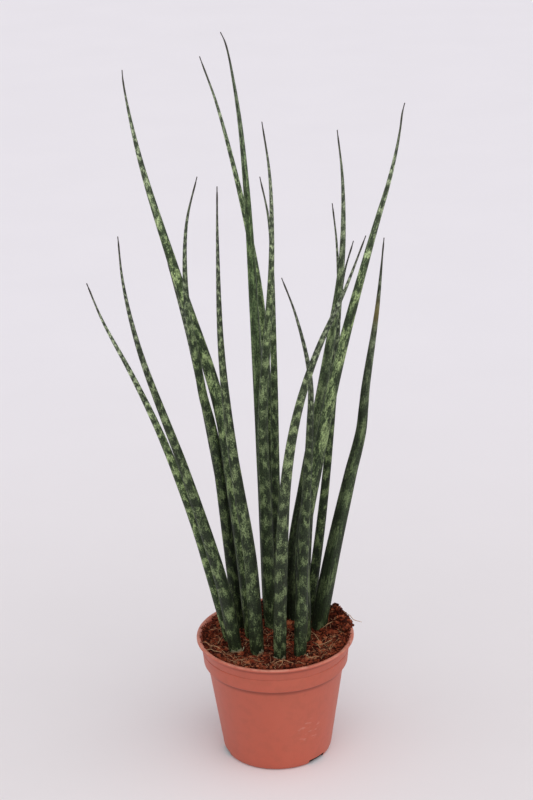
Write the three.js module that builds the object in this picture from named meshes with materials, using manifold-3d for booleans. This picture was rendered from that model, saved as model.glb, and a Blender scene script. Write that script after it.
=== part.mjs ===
// Potted mikado snake plant: seventeen pointed, cylindrical leaves in soil, in a plastic nursery pot.
// Millimetres, +Z up, the origin at the centre of the pot's underside. The front of the plant faces -Y.

import * as THREE from "three";
import { mergeVertices } from "three/addons/utils/BufferGeometryUtils.js";
import Module from "manifold-3d";

// Pot, outside: radii and heights
const POT_HEIGHT = 96;
const LIP_RADIUS = 60;
const LIP_HEIGHT = 2;
const LIP_THICKNESS = 2.4;
const LIP_EDGE = 0.6;
const LIP_STEP = 0.3;
const COLLAR_TOP_RADIUS = 56.8;
const COLLAR_FOOT_RADIUS = 55;
const COLLAR_FOOT_HEIGHT = 75;
const BODY_TOP_RADIUS = 52;
const BODY_TOP_HEIGHT = 73.2;
const BODY_FOOT_RADIUS = 41.8;
const BODY_FOOT_HEIGHT = 4;
const BASE_RADIUS = 39;
const BASE_EDGE = { out: 1.7, up: 1.1 };
const WALL = 1.5;
const FLOOR_THICKNESS = 5.6;
const SHOULDER_DROP = 0.7;
const FLOOR_CORNER_RISE = 2.5;
const POT_SIDES = 48;

// Pot, underside: a flat middle, a shallow ring channel round it and a foot ring
const FLAT_MIDDLE_RADIUS = 21;
const FOOT_RING_INNER_RADIUS = 36;
const CHANNEL_DEPTH = 3.8;
const CHANNEL_SLOPE = 1;
const DRAIN_HOLES = 6;
const DRAIN_HOLE_RADIUS = 3.2;
const DRAIN_HOLE_CIRCLE = 28.5;
const DRAIN_HOLE_SIDES = 12;
const NOTCHES = 3;
const NOTCH_WIDTH = 16;
const NOTCH_HEIGHT = 4;
const NOTCH_FIRST_ANGLE = -44;
const NOTCH_OVERRUN = 2;

// Soil
const SOIL_LEVEL = 90;
const CLEARANCE = 0.3;
const SOIL_DRAFT = 0.4;
const SOIL_SIDES = 44;
const SOIL_TOP_RINGS = 11;
const BANK = { height: 3.4, from: 34, to: 54 };
const HEAP = { x: 50, y: 26, height: 10, spread: 14 };
const FRONT_RISE = { x: 14, y: -48, height: 1.2, spread: 26 };

// Leaves
const LEAF_SIDES = 12;
const LEAF_RINGS = 23;

// How much closer together a leaf's rings lie towards its tip, where 1 is evenly spaced
const RINGS_GATHER = 1.3;

const ROOT_DEPTH = 28;
const ROOT_GATHER = 0.9;
const FOOT_WAIST = 0.1;
const ROOT_WAIST = 0.14;
const WAIST_LENGTH = 20;
const SPINE_RADIUS = 0.6;
const SPINE_LENGTH = 14;
const GROOVE_RELIEF = 0.09;
const GROOVE_WIDTH = 0.55;

// The hole that each leaf stands in takes this share of the leaf's length, in this many steps
const HOLE_SHARE = 0.25;
const HOLE_RINGS = 5;

// Each leaf: where it leaves the soil, the points that it bends through, its tip, its width above the foot,
// how late it tapers, and the direction that its groove faces, in degrees from +X
const LEAVES = [
  { foot: [-35, 0], bends: [[-46, -6, 145], [-58, -11, 197], [-78, -16, 264], [-96, -20, 312],
    [-116.5, -23, 359]],
    tip: [-126, -24, 387], width: 8.6, taper: 1.7, groove: -60 },
  { foot: [-30, -16], bends: [[-37, -20, 141], [-61.5, -27, 240], [-90.5, -33, 339], [-99.5, -35, 389]],
    tip: [-101.5, -36, 424], width: 11.1, taper: 1.35, groove: -20 },
  { foot: [-18, 6], bends: [[-22.5, 6, 155], [-29.5, 9, 222], [-38, 17, 281], [-64.5, 32, 370],
    [-89, 49, 456], [-99, 60.5, 508]],
    tip: [-99.7, 62, 519], width: 10.7, taper: 2.5, groove: -75 },
  { foot: [-22, 32], bends: [[-35, 41, 176], [-57, 54, 306]],
    tip: [-73.5, 62, 377], width: 7.2, taper: 2.2, groove: -40 },
  { foot: [-27.5, 21], bends: [[-32, 19, 145], [-42.2, 15, 254], [-48.2, 12, 284], [-51.4, 9.5, 308],
    [-57.8, 7, 362], [-56, 9, 417]],
    tip: [-47, 9, 453], width: 9.4, taper: 1.9, groove: -110 },
  { foot: [0, 45], bends: [[-0.5, 53, 222], [-6, 62, 353], [-31, 74, 482]],
    tip: [-44.5, 79, 524], width: 6.8, taper: 2.8, groove: -90 },
  { foot: [-14, -19], bends: [[-17, -26, 170], [-27.5, -32, 261], [-33, -36, 339], [-33, -39, 420]],
    tip: [-32, -41, 459], width: 11.3, taper: 1.25, groove: -130 },
  { foot: [-5, 38], bends: [[-7, 42, 228], [-10, 45, 349], [-12.5, 46, 425], [-16.5, 47, 484],
    [-22, 48, 525], [-24.2, 48, 537]],
    tip: [-28.3, 48, 547], width: 8.6, taper: 2.55, groove: -95 },
  { foot: [4.5, 31], bends: [[3, 32, 196], [4, 34, 303], [3, 37, 409]],
    tip: [-3, 39, 444], width: 8.2, taper: 1.65, groove: -80 },
  { foot: [-3, 20], bends: [[-5, 14, 210], [-5, 12, 270], [4, 11, 390], [4.2, 12, 450]],
    tip: [-0.5, 14, 490], width: 10.2, taper: 1.55, groove: -45 },
  { foot: [18, -27], bends: [[22, -31, 180], [28, -33, 271], [29, -32, 316], [20, -30, 361]],
    tip: [10.5, -29, 389], width: 10.5, taper: 1.3, groove: -150 },
  { foot: [24, 42], bends: [[31, 52, 188], [46.5, 60, 284], [53, 64, 333], [53, 68, 381]],
    tip: [50, 71, 414], width: 5.2, taper: 2.1, groove: -90 },
  { foot: [14, 37], bends: [[16, 38, 148], [26, 39, 206], [47, 43, 320], [55.5, 45, 377], [57, 49, 435]],
    tip: [53.5, 51, 474], width: 10.1, taper: 2, groove: -110 },
  { foot: [26, 28], bends: [[38.5, 39, 179], [48.5, 49, 269], [57, 58, 359]],
    tip: [65, 60, 388], width: 8.2, taper: 1.5, groove: -90 },
  { foot: [3, -29], bends: [[4.5, -38, 143], [10.5, -53, 246], [20, -60, 302], [34, -64, 347],
    [53, -67, 391]],
    tip: [67.5, -69, 430], width: 10, taper: 1.8, groove: -120 },
  { foot: [33.5, 18], bends: [[44, 18, 148], [60, 19, 221], [67.5, 20, 252], [71, 21, 285], [80, 23, 346]],
    tip: [85.5, 26, 400], width: 13.4, taper: 1.4, groove: -115 },
  { foot: [22, -1], bends: [[22.5, -5, 176], [31, -6, 225], [51, -5, 318], [77, 0, 413], [87.7, 3, 448],
    [94.6, 6, 477], [97.5, 8.3, 496]],
    tip: [99.1, 9, 502], width: 11.3, taper: 1.9, groove: -60 },
];

const POT_COLOUR = 0xb9624e;
const SOIL_COLOUR = 0x55291c;
const LEAF_COLOUR = 0x3b5745;

const wasm = await Module();
wasm.setup();

// One closed surface from a geometry: its shared corners merged and its collapsed triangles left out.
function closedSurface(geometry) {
  const bare = geometry.clone();
  bare.deleteAttribute("normal");
  bare.deleteAttribute("uv");
  const merged = mergeVertices(bare, 1e-4);
  const corners = merged.index.array;
  const kept = [];
  for (let i = 0; i < corners.length; i += 3) {
    const [a, b, c] = [corners[i], corners[i + 1], corners[i + 2]];
    if (a !== b && b !== c && c !== a) kept.push(a, b, c);
  }
  merged.setIndex(kept);
  return merged;
}

function solidFrom(geometry) {
  const surface = closedSurface(geometry);
  return new wasm.Manifold(
    new wasm.Mesh({
      numProp: 3,
      vertProperties: surface.attributes.position.array,
      triVerts: new Uint32Array(surface.index.array),
    }),
  );
}

function geometryFrom(solid) {
  const cut = solid.getMesh();
  const geometry = new THREE.BufferGeometry();
  geometry.setAttribute("position", new THREE.BufferAttribute(cut.vertProperties, 3));
  geometry.setIndex(new THREE.BufferAttribute(cut.triVerts, 1));
  geometry.computeVertexNormals();
  return geometry;
}

// A profile of [radius, height] pairs turned about the Z axis.
function turned(profile, sides) {
  const outline = profile.map(([radius, height]) => new THREE.Vector2(radius, height));
  const geometry = new THREE.LatheGeometry(outline, sides);
  geometry.rotateX(Math.PI / 2);
  return geometry;
}

function radians(degrees) {
  return (degrees * Math.PI) / 180;
}

// Pot

function potProfile() {
  const lipTop = POT_HEIGHT;
  const lipFoot = POT_HEIGHT - LIP_HEIGHT;
  return [
    [0, 0],
    [FLAT_MIDDLE_RADIUS, 0],
    [FLAT_MIDDLE_RADIUS + CHANNEL_SLOPE, CHANNEL_DEPTH],
    [FOOT_RING_INNER_RADIUS - CHANNEL_SLOPE, CHANNEL_DEPTH],
    [FOOT_RING_INNER_RADIUS, 0],
    [BASE_RADIUS, 0],
    [BASE_RADIUS + BASE_EDGE.out, BASE_EDGE.up],
    [BODY_FOOT_RADIUS, BODY_FOOT_HEIGHT],
    [BODY_TOP_RADIUS, BODY_TOP_HEIGHT],
    [COLLAR_FOOT_RADIUS, COLLAR_FOOT_HEIGHT],
    [COLLAR_TOP_RADIUS, lipFoot - LIP_STEP],
    [LIP_RADIUS - LIP_STEP, lipFoot],
    [LIP_RADIUS, lipFoot + LIP_STEP],
    [LIP_RADIUS, lipTop - LIP_EDGE],
    [LIP_RADIUS - LIP_EDGE, lipTop],
    [LIP_RADIUS - LIP_THICKNESS + LIP_EDGE, lipTop],
    [LIP_RADIUS - LIP_THICKNESS, lipTop - LIP_EDGE],
    [COLLAR_TOP_RADIUS - WALL, lipFoot - LIP_STEP],
    [COLLAR_FOOT_RADIUS - WALL, COLLAR_FOOT_HEIGHT + SHOULDER_DROP],
    [BODY_TOP_RADIUS - WALL, BODY_TOP_HEIGHT - SHOULDER_DROP],
    [BODY_FOOT_RADIUS - WALL, BODY_FOOT_HEIGHT + FLOOR_CORNER_RISE],
    [BASE_RADIUS - WALL, FLOOR_THICKNESS],
    [0, FLOOR_THICKNESS],
  ];
}

function potGeometry() {
  let pot = solidFrom(turned(potProfile(), POT_SIDES));
  for (let i = 0; i < DRAIN_HOLES; i += 1) {
    const angle = radians((360 / DRAIN_HOLES) * i);
    const through = 4 * FLOOR_THICKNESS;
    const hole = new THREE.CylinderGeometry(DRAIN_HOLE_RADIUS, DRAIN_HOLE_RADIUS, through, DRAIN_HOLE_SIDES);
    hole.rotateX(Math.PI / 2);
    hole.translate(DRAIN_HOLE_CIRCLE * Math.cos(angle), DRAIN_HOLE_CIRCLE * Math.sin(angle), 0);
    pot = pot.subtract(solidFrom(hole));
  }
  const notchLength = 3 * (BODY_FOOT_RADIUS - FOOT_RING_INNER_RADIUS);
  for (let i = 0; i < NOTCHES; i += 1) {
    const notch = new THREE.BoxGeometry(notchLength, NOTCH_WIDTH, 2 * NOTCH_HEIGHT);
    notch.translate(FOOT_RING_INNER_RADIUS - NOTCH_OVERRUN + notchLength / 2, 0, 0);
    notch.rotateZ(radians(NOTCH_FIRST_ANGLE + (360 / NOTCHES) * i));
    pot = pot.subtract(solidFrom(notch));
  }
  return geometryFrom(pot);
}

// Leaves

function leafPath(leaf) {
  const [x, y] = leaf.foot;
  const root = [x * ROOT_GATHER, y * ROOT_GATHER, SOIL_LEVEL - ROOT_DEPTH];
  const points = [root, [x, y, SOIL_LEVEL], ...leaf.bends, leaf.tip];
  return new THREE.CatmullRomCurve3(points.map((point) => new THREE.Vector3(...point)));
}

// The leaf's radius at a distance along it from its root end. It tapers to a thin, dry spine at the tip.
function leafRadius(leaf, distance, length) {
  const above = distance - ROOT_DEPTH;
  const share = THREE.MathUtils.clamp(above / (length - ROOT_DEPTH - SPINE_LENGTH), 0, 1);
  const full = SPINE_RADIUS + (leaf.width / 2 - SPINE_RADIUS) * (1 - share ** leaf.taper);
  const foot = 1 - FOOT_WAIST * (1 - THREE.MathUtils.smoothstep(above, 0, WAIST_LENGTH));
  const root = 1 - ROOT_WAIST * (1 - THREE.MathUtils.smoothstep(distance, 0, ROOT_DEPTH));
  return full * foot * root;
}

// What is left of the radius at an angle from the middle of the leaf's shallow groove.
function grooved(angle) {
  const turn = Math.atan2(Math.sin(angle), Math.cos(angle));
  return 1 - GROOVE_RELIEF * Math.exp(-((turn / GROOVE_WIDTH) ** 2));
}

// A straight turned blank bent along the leaf's path, its sides facing the same way all along it.
// The first share of the length, made bigger all round by an extra, is the hole that the leaf stands in.
function leafGeometry(leaf, rings, extra = 0, share = 1) {
  const path = leafPath(leaf);
  const length = path.getLength();
  const profile = [[0, 0]];
  for (let i = 0; i < rings; i += 1) {
    const distance = length * share * (1 - (1 - i / rings) ** RINGS_GATHER);
    profile.push([leafRadius(leaf, distance, length) + extra, distance]);
  }
  if (share < 1) profile.push([profile.at(-1)[0], length * share]);
  profile.push([0, length * share]);
  const surface = closedSurface(turned(profile, LEAF_SIDES));
  const places = surface.attributes.position;
  const facing = new THREE.Vector3(1, 0, 0);
  for (let i = 0; i < places.count; i += 1) {
    const [x, y, height] = [places.getX(i), places.getY(i), places.getZ(i)];
    const angle = Math.atan2(y, x);
    const radius = Math.hypot(x, y) * (extra > 0 ? 1 : grooved(angle - radians(leaf.groove)));
    const along = THREE.MathUtils.clamp(height / length, 0, 1);
    const forward = path.getTangentAt(along);
    const across = facing.clone().addScaledVector(forward, -facing.dot(forward)).normalize();
    const aside = forward.clone().cross(across);
    const place = path.getPointAt(along);
    place.addScaledVector(across, radius * Math.cos(angle));
    place.addScaledVector(aside, radius * Math.sin(angle));
    if (along < 1 / length) place.z -= extra;
    places.setXYZ(i, place.x, place.y, place.z);
  }
  surface.computeVertexNormals();
  return surface;
}

// Soil

function bump(x, y, place) {
  const distance = Math.hypot(x - place.x, y - place.y);
  return place.height * Math.exp(-((distance / place.spread) ** 2));
}

// The soil's waves, the bank that it makes against the wall, and its two rises.
function soilHeight(x, y) {
  const bank = BANK.height * THREE.MathUtils.smoothstep(Math.hypot(x, y), BANK.from, BANK.to);
  const waves =
    0.8 * Math.sin(x * 0.31 + y * 0.17 + 1.3) +
    0.6 * Math.sin(y * 0.43 - x * 0.21 + 0.4) +
    0.4 * Math.sin(x * 0.71 + 2.1) * Math.sin(y * 0.66 + 0.7);
  return SOIL_LEVEL + waves + bank + bump(x, y, HEAP) + bump(x, y, FRONT_RISE);
}

function soilGeometry() {
  const inset = WALL + CLEARANCE;
  const topRadius = COLLAR_TOP_RADIUS - inset - SOIL_DRAFT;
  const profile = [
    [0, FLOOR_THICKNESS + CLEARANCE],
    [BASE_RADIUS - inset, FLOOR_THICKNESS + CLEARANCE],
    [BODY_FOOT_RADIUS - inset, BODY_FOOT_HEIGHT + FLOOR_CORNER_RISE + CLEARANCE],
    [BODY_TOP_RADIUS - inset, BODY_TOP_HEIGHT - SHOULDER_DROP],
    [COLLAR_FOOT_RADIUS - inset, COLLAR_FOOT_HEIGHT + SHOULDER_DROP],
  ];
  for (let i = SOIL_TOP_RINGS; i >= 0; i -= 1) {
    profile.push([(topRadius * i) / SOIL_TOP_RINGS, SOIL_LEVEL]);
  }
  const surface = closedSurface(turned(profile, SOIL_SIDES));
  const places = surface.attributes.position;
  for (let i = 0; i < places.count; i += 1) {
    const onTop = places.getZ(i) > (COLLAR_FOOT_HEIGHT + SOIL_LEVEL) / 2;
    if (onTop) places.setZ(i, soilHeight(places.getX(i), places.getY(i)));
  }
  let soil = solidFrom(surface);
  for (const leaf of LEAVES) {
    soil = soil.subtract(solidFrom(leafGeometry(leaf, HOLE_RINGS, CLEARANCE, HOLE_SHARE)));
  }
  return geometryFrom(soil);
}

function named(name, geometry, colour, roughness) {
  const material = new THREE.MeshStandardMaterial({ color: colour, roughness, metalness: 0 });
  const mesh = new THREE.Mesh(geometry, material);
  mesh.name = name;
  return mesh;
}

const plant = new THREE.Group();
plant.add(named("pot", potGeometry(), POT_COLOUR, 0.5));
plant.add(named("soil", soilGeometry(), SOIL_COLOUR, 0.95));
LEAVES.forEach((leaf, i) => {
  const name = `leaf_${String(i + 1).padStart(2, "0")}`;
  plant.add(named(name, leafGeometry(leaf, LEAF_RINGS), LEAF_COLOUR, 0.45));
});

export default plant;
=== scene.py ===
"""Potted mikado snake plant: its fine shapes and finishes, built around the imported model.

Seventeen pointed, cylindrical, mottled leaves stand in coir soil in a moulded plastic nursery pot.
Metres, +Z up, the origin at the centre of the pot's underside. The front of the plant faces -Y.
"""

import random
from collections import namedtuple
from math import atan2, cos, exp, hypot, pi, radians, sin, sqrt

import bmesh
import bpy
from bpy.props import FloatProperty, FloatVectorProperty, IntProperty, PointerProperty
from mathutils import Matrix, Vector, noise


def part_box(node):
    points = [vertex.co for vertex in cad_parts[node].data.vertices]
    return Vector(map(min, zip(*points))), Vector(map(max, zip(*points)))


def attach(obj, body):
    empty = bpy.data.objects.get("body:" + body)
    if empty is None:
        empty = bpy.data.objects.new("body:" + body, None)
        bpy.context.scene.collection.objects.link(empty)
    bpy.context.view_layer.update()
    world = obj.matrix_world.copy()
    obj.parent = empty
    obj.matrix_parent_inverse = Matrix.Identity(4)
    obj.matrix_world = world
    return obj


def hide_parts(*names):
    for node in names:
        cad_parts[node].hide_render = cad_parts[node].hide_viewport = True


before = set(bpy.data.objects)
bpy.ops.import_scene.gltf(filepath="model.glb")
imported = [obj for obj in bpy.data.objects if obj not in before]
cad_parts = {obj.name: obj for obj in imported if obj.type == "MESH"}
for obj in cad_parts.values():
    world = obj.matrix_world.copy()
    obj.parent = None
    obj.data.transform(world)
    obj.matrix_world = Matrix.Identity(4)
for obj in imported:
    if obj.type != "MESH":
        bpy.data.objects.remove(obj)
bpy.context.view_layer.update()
POT_LOW, POT_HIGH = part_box("pot")

bl_info = {
    "name": "Potted Mikado Snake Plant",
    "version": (1, 0, 0),
    "blender": (4, 5, 0),
    "location": "View3D > Sidebar > Snake Plant",
    "description": "Builds a potted snake plant with cylindrical mottled leaves around its packed model",
    "category": "Add Mesh",
}

MM = 0.001
FULL_TURN = 2 * pi
WELD = 1e-6

# From which angle in degrees an edge is sharp
POT_SHARP = 32
LUMP_SHARP = 30
BED_SHARP = 60
SHEATH_SHARP = 60
NONE_SHARP = 180

# Pot: radii and heights in millimetres
LIP_RADIUS = (POT_HIGH.x - POT_LOW.x) / 2 / MM
LIP_TOP = POT_HIGH.z / MM
LIP_FOOT = LIP_TOP - 2.0
LIP_THICKNESS = 2.4
LIP_INSIDE_DROP = 0.4
COLLAR_TOP_RADIUS = LIP_RADIUS - 3.2
COLLAR_FOOT_RADIUS = LIP_RADIUS - 5.0
COLLAR_FOOT_HEIGHT = 75.0
BODY_TOP_RADIUS = LIP_RADIUS - 8.0
BODY_TOP_HEIGHT = 73.2
BODY_FOOT_RADIUS = LIP_RADIUS - 18.2
BODY_FOOT_HEIGHT = 4.0
BASE_RADIUS = LIP_RADIUS - 21.0
BASE_EDGE_OUT = 1.7
BASE_EDGE_UP = 1.1
FLOOR_THICKNESS = 5.6
FLOOR_CORNER_RISE = 2.5
SHOULDER_DROP = 0.7

# Pot: the line round its collar, and how far out the line's lower and upper edge stand, in millimetres
COLLAR_GROOVE_HEIGHT = 85.6
COLLAR_GROOVE_HALF_WIDTH = 0.6
GROOVE_LOWER_OUT = -0.02
GROOVE_UPPER_OUT = 0.05

# Pot: how far its edges are rounded in millimetres
FINE_EDGE = 0.3
SOFT_EDGE = 0.6
LIP_EDGE = 0.85
FOOT_EDGE = 1.2
EDGE_STEPS = 4

# Pot: underside, in millimetres and degrees
FLAT_MIDDLE_RADIUS = 21.0
FOOT_RING_INNER_RADIUS = 36.0
CHANNEL_DEPTH = 3.8
CHANNEL_SLOPE = 1.0
DRAIN_HOLES = 6
DRAIN_HOLE_SIDES = 24
DRAIN_HOLE_RADIUS = 3.2
DRAIN_HOLE_CIRCLE = 28.5
NOTCHES = 3
NOTCH_WIDTH = 16.0
NOTCH_HEIGHT = 4.0
NOTCH_FIRST_ANGLE = -44.0
NOTCH_BACK_RADIUS = 38.2
NOTCH_CUT_LENGTH = 71.4
NOTCH_MARGIN = 0.05

# Pot: where a painted shade darkens a crease, under the lip, under the collar and in the collar's line: its
# height and its reach in metres, and how much of the colour it takes
SHADED_CREASES = ((0.0922, 0.0022, 0.6), (0.0726, 0.003, 0.65), (0.0856, 0.0007, 0.1))

# Pot: the middle of the scuffed place on the right of the front, in metres, and the colours of its marks
SCUFFED_PLACE = (0.0265, -0.042, 0.034)
SCUFF_COLOUR = (0.72, 0.42, 0.34)
# Paler lip top: partly wear, partly a painted highlight
LIP_WEAR_AND_HIGHLIGHT_COLOUR = (0.72, 0.36, 0.27)
DUST_COLOUR = (0.16, 0.06, 0.03)
# The painted shade in the creases
CREASE_SHADE_COLOUR = (0.2, 0.03, 0.015)
# The painted shade in the drain notches' recess
NOTCH_SHADE_COLOUR = (0.012, 0.004, 0.003)

# Soil, in millimetres
SOIL_LEVEL = 90.0
SOIL_CLEARANCE = 0.3
SOIL_DRAFT = 0.4
Rise = namedtuple("Rise", "x y height spread")
HEAP = Rise(50, 26, 10, 14)
FRONT_RISE = Rise(14, -48, 1.2, 26)
BANK_HEIGHT = 3.4
BANK_REACH = (34.0, 54.0)

# Soil on the slope inside the lip: from and to these radii, and how far it rises, in millimetres
RIM_FROM = 54.2
RIM_TO = 57.9
RIM_RISE = 2.1

# Soil spilled over the lip: between these angles from +X in degrees, and these radii in millimetres
SPILL_FROM = 0.0
SPILL_TO = 52.0
SPILL_INNER = 53.6
SPILL_OUTER = 60.4

# Crumbs: the sizes they are drawn from in millimetres, their tilt in radians, how seldom one is pale, and
# the lumps that they are copies of
BED_CRUMB_SIZES = (0.5, 0.6, 0.7, 0.8, 0.9, 1.0, 1.2, 1.5, 1.9, 2.8)
RIM_CRUMB_SIZES = (0.6, 0.8, 1.0, 1.3, 1.7)
SPILLED_SIZES = (0.7, 0.8, 1.0, 1.2, 1.5, 1.9, 2.6, 3.2)
CRUMB_TILT = 0.6
PALE_RARITY = 2.1
LUMPS = 6
LUMP_UNEVENNESS = 0.3

# Chips of bark on the soil: where each lies and its size in millimetres, its tint from 0, dark, to 1, pale
CHIPS = (
    (33, -8, 5.5, 0.95), (36, -11, 3.2, 0.8), (10, 23, 5.5, 0.85), (-42, -22, 3, 0.5),
    (41, 4, 3.4, 0.6), (-18, -38, 2.8, 0.45), (20, -44, 3.0, 0.5), (44, -18, 2.8, 0.7),
)
CHIP_STRETCH = (1.3, 0.9, 0.5)
CHIP_TILT = 0.3
CHIP_UNEVENNESS = 0.16

# Single fibres: where each starts and its heading in degrees, its length and lift in millimetres, its tint
STRANDS = (
    (26, 17, -70, 26, 1.6, 0.9), (36, 12, 23, 15, 1.2, 1.0),
    (28, -8, -44, 14, 1.0, 1.0), (52, 21, -38, 17, 1.0, 0.6),
    (55, -18, -60, 6, 0.5, 0.1), (2, -52, 62, 12, 0.8, 1.0),
    (7, -40, 214, 9, 0.6, 0.8), (-14, -26, 76, 22, 1.5, 1.0),
    (-55, -13, -28, 22, 1.0, 1.0), (-53, -26, 12, 16, 0.6, 0.8),
    (-40, -30, 50, 12, 0.6, 0.7), (22, -36, 20, 14, 1.0, 0.9),
    (28, -34, 160, 11, 0.8, 0.8), (40, -24, 75, 14, 0.8, 0.7),
    (30, -14, 15, 16, 1.2, 0.9), (-44, -8, 60, 14, 1.8, 1.0),
    (-30, -34, -15, 13, 0.8, 0.9), (16, -44, 150, 15, 0.9, 1.0),
)
STRAND_RADIUS = 0.27

# Loose fibres: the ranges of their radius and length and the lifts they are drawn from, in millimetres
FIBRE_RADIUS = (0.07, 0.16)
FIBRE_LENGTH = (3, 12)
FIBRE_LIFTS = (0.1, 0.3, 0.6, 1.4)
FIBRE_SIDES = 5

# Leaves with torn dry sheaths at the foot: the direction that each faces in degrees from +X
SHEATHS = {
    "leaf_02": (-110, -70, -35), "leaf_07": (-60,), "leaf_11": (-75, -30), "leaf_15": (-125, -60),
}

# Sheaths: how far each reaches round its leaf in degrees, its height, its foot in the soil, its thickness
SHEATH_SPREAD = (34, 60)
SHEATH_HEIGHT = (4.5, 7.5)
SHEATH_SINK = 0.6
SHEATH_THICKNESS = 0.18

# Leaves: the cross-section in shares of the radius and in radians, and the spine at the tip in millimetres
GROOVE_RELIEF = 0.09
GROOVE_WIDTH = 0.55
RIB_RELIEF = 0.012
RIBS = 7
KEEL_RELIEF = 0.1
KEEL_WIDTH = 0.3
KEEL_ANGLE = radians(25)
SKIN_WANDER = 0.02
SPINE_RADIUS = 0.38
SPINE_LENGTH = 38.0
FOOT_STEPS = 4

# Leaves: the dark line in the groove, where the painted shades beside the keel and on the right side and the
# darkening of the low part, partly painted shade, begin and end, the painted highlight on the groove's edge,
# and how the bands are set out
GROOVE_LINE_WIDTH = 0.22
KEEL_PAINTED_SHADE = (-0.35, -0.1)
SIDE_PAINTED_SHADE = (0.25, 0.85)
DARK_AND_SHADED_BELOW = (130.0, 330.0)
EDGE_HIGHLIGHT_ANGLE = 0.55
LEAST_BAND_WIDTH = 3.0
BAND_STAGGER = 3.7

# Leaves: the colours of their small marks, and the blemished leaf with its height and reach in millimetres
SPECK_COLOUR = (0.36, 0.4, 0.32)
BLEMISH_COLOUR = (0.22, 0.17, 0.05)
SPINE_COLOUR = (0.05, 0.042, 0.036)
BLEMISHED_LEAF = "leaf_16"
BLEMISH_HEIGHT = 345.0
BLEMISH_REACH = 9.0

# How each leaf looks, from leaf_01 on: the direction its groove faces in degrees from +X, how much of it is
# pale, how light it is, how far apart its bands lie in leaf widths, how dark its groove is, how much painted
# shade its left side takes beside a keel, how fresh its green is, how dark its low part is, partly by painted
# shade, and how much painted shade its right side takes
Look = namedtuple("Look", "groove patches tone band line keel fresh low side")
LOOKS = {f"leaf_{number:02}": Look(*row) for number, row in enumerate((
    (-60, 1.0, 1.4, 1.8, 0.2, 0, 0.3, 0.2, 0.2),
    (-20, 0.9, 0.1, 1.8, 0.1, 0, 0.2, 0.0, 0.3),
    (-75, 1.0, 0.5, 2.1, 0.2, 0, 0.4, 0.4, 0.6),
    (-40, 0.9, 0.3, 1.8, 0.1, 0, 0.2, 0.7, 0.2),
    (-110, 0.95, 0.1, 1.9, 0.1, 0, 0.6, 0.8, 0.3),
    (-90, 0.7, 0.95, 2.6, 0.4, 0, 0.5, 1.1, 0.2),
    (-130, 0.95, 0.1, 1.9, 0.1, 0, 0.2, 0.0, 0.8),
    (-102, 0.25, 0.85, 3.4, 1.2, 0, 0.6, 0.9, 0.2),
    (-80, 0.7, 0.5, 2.0, 0.1, 0, 0.4, 0.9, 0.0),
    (-45, 0.65, 0.7, 1.8, 0.1, 0, 0.2, 0.0, 0.4),
    (-150, 0.8, 0.0, 1.8, 0.1, 0, 0.2, 0.0, 0.0),
    (-90, 0.9, 0.3, 2.0, 0.1, 0, 0.2, 0.6, 0.2),
    (-110, 0.45, 1.05, 3.0, 0.7, 0, 0.15, 1.2, 0.0),
    (-90, 1.0, 0.2, 2.0, 0.1, 0, 0.5, 0.6, 0.2),
    (-120, 0.9, 0.3, 1.7, 0.1, 0, 0.1, 0.2, 0.2),
    (-115, 0.4, 0.65, 3.0, 0.0, 1, 0.2, 0.1, 0.0),
    (-60, 1.0, 0.5, 3.2, 0.2, 0, 0.4, 0.8, 0.2),
), 1)}

# Light: where the two suns shine from and to, in metres, their width in the sky and their colours
KEY_PLACE = (1.2, -1.3, 2.2)
FILL_PLACE = (-1.0, -1.3, 2.5)
LIGHT_TARGET = (0, 0, 0.1)
SUN_WIDTH = radians(80)
KEY_COLOUR = (1.0, 0.98, 0.96)
FILL_COLOUR = (1.0, 0.99, 0.98)


# Shader nodes

def feed(made, inputs):
    """Gives each named input of a node a number, a colour or the socket that feeds it."""
    for name, value in inputs.items():
        socket = made.inputs[name]
        if isinstance(value, bpy.types.NodeSocket):
            made.id_data.links.new(value, socket)
        elif socket.type == "RGBA":
            socket.default_value = (*value, 1.0)
        else:
            socket.default_value = value
    return made


def add_node(tree, kind, **settings):
    """Adds a node and sets it up."""
    made = tree.nodes.new("ShaderNode" + kind)
    for name, value in settings.items():
        setattr(made, name, value)
    return made


def follow(kind, inputs, **settings):
    """Adds a node where the first socket that feeds it is, and returns what it puts out."""
    tree = next(value.id_data for value in inputs.values() if isinstance(value, bpy.types.NodeSocket))
    return feed(add_node(tree, kind, **settings), inputs).outputs


def maths(operation, *values):
    return follow("Math", dict(enumerate(values)), operation=operation)[0]


def times(product, *others):
    for value in others:
        product = maths("MULTIPLY", product, value)
    return product


def plus(total, *others):
    for value in others:
        total = maths("ADD", total, value)
    return total


def blend(share, first, second):
    """Mixes two colours by a share from 0 to 1."""
    return follow("Mix", {0: share, 6: first, 7: second}, data_type="RGBA")[2]


def ramp(value, low, high, bottom=0.0, top=1.0):
    """Eases a value between two limits into the range from bottom to top."""
    inputs = {"Value": value, "From Min": low, "From Max": high, "To Min": bottom, "To Max": top}
    return follow("MapRange", inputs, interpolation_type="SMOOTHSTEP")["Result"]


def cloud(place, scale, detail):
    return follow("TexNoise", {"Vector": place, "Scale": scale, "Detail": detail})["Fac"]


def bump(height, distance, strength):
    return follow("Bump", {"Height": height, "Distance": distance, "Strength": strength})["Normal"]


def object_place(tree):
    return add_node(tree, "TexCoord").outputs["Object"]


def attribute(tree, name, output):
    return add_node(tree, "Attribute", attribute_name=name).outputs[output]


def split(vector):
    """The three numbers of a vector."""
    return follow("SeparateXYZ", {0: vector})


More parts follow.
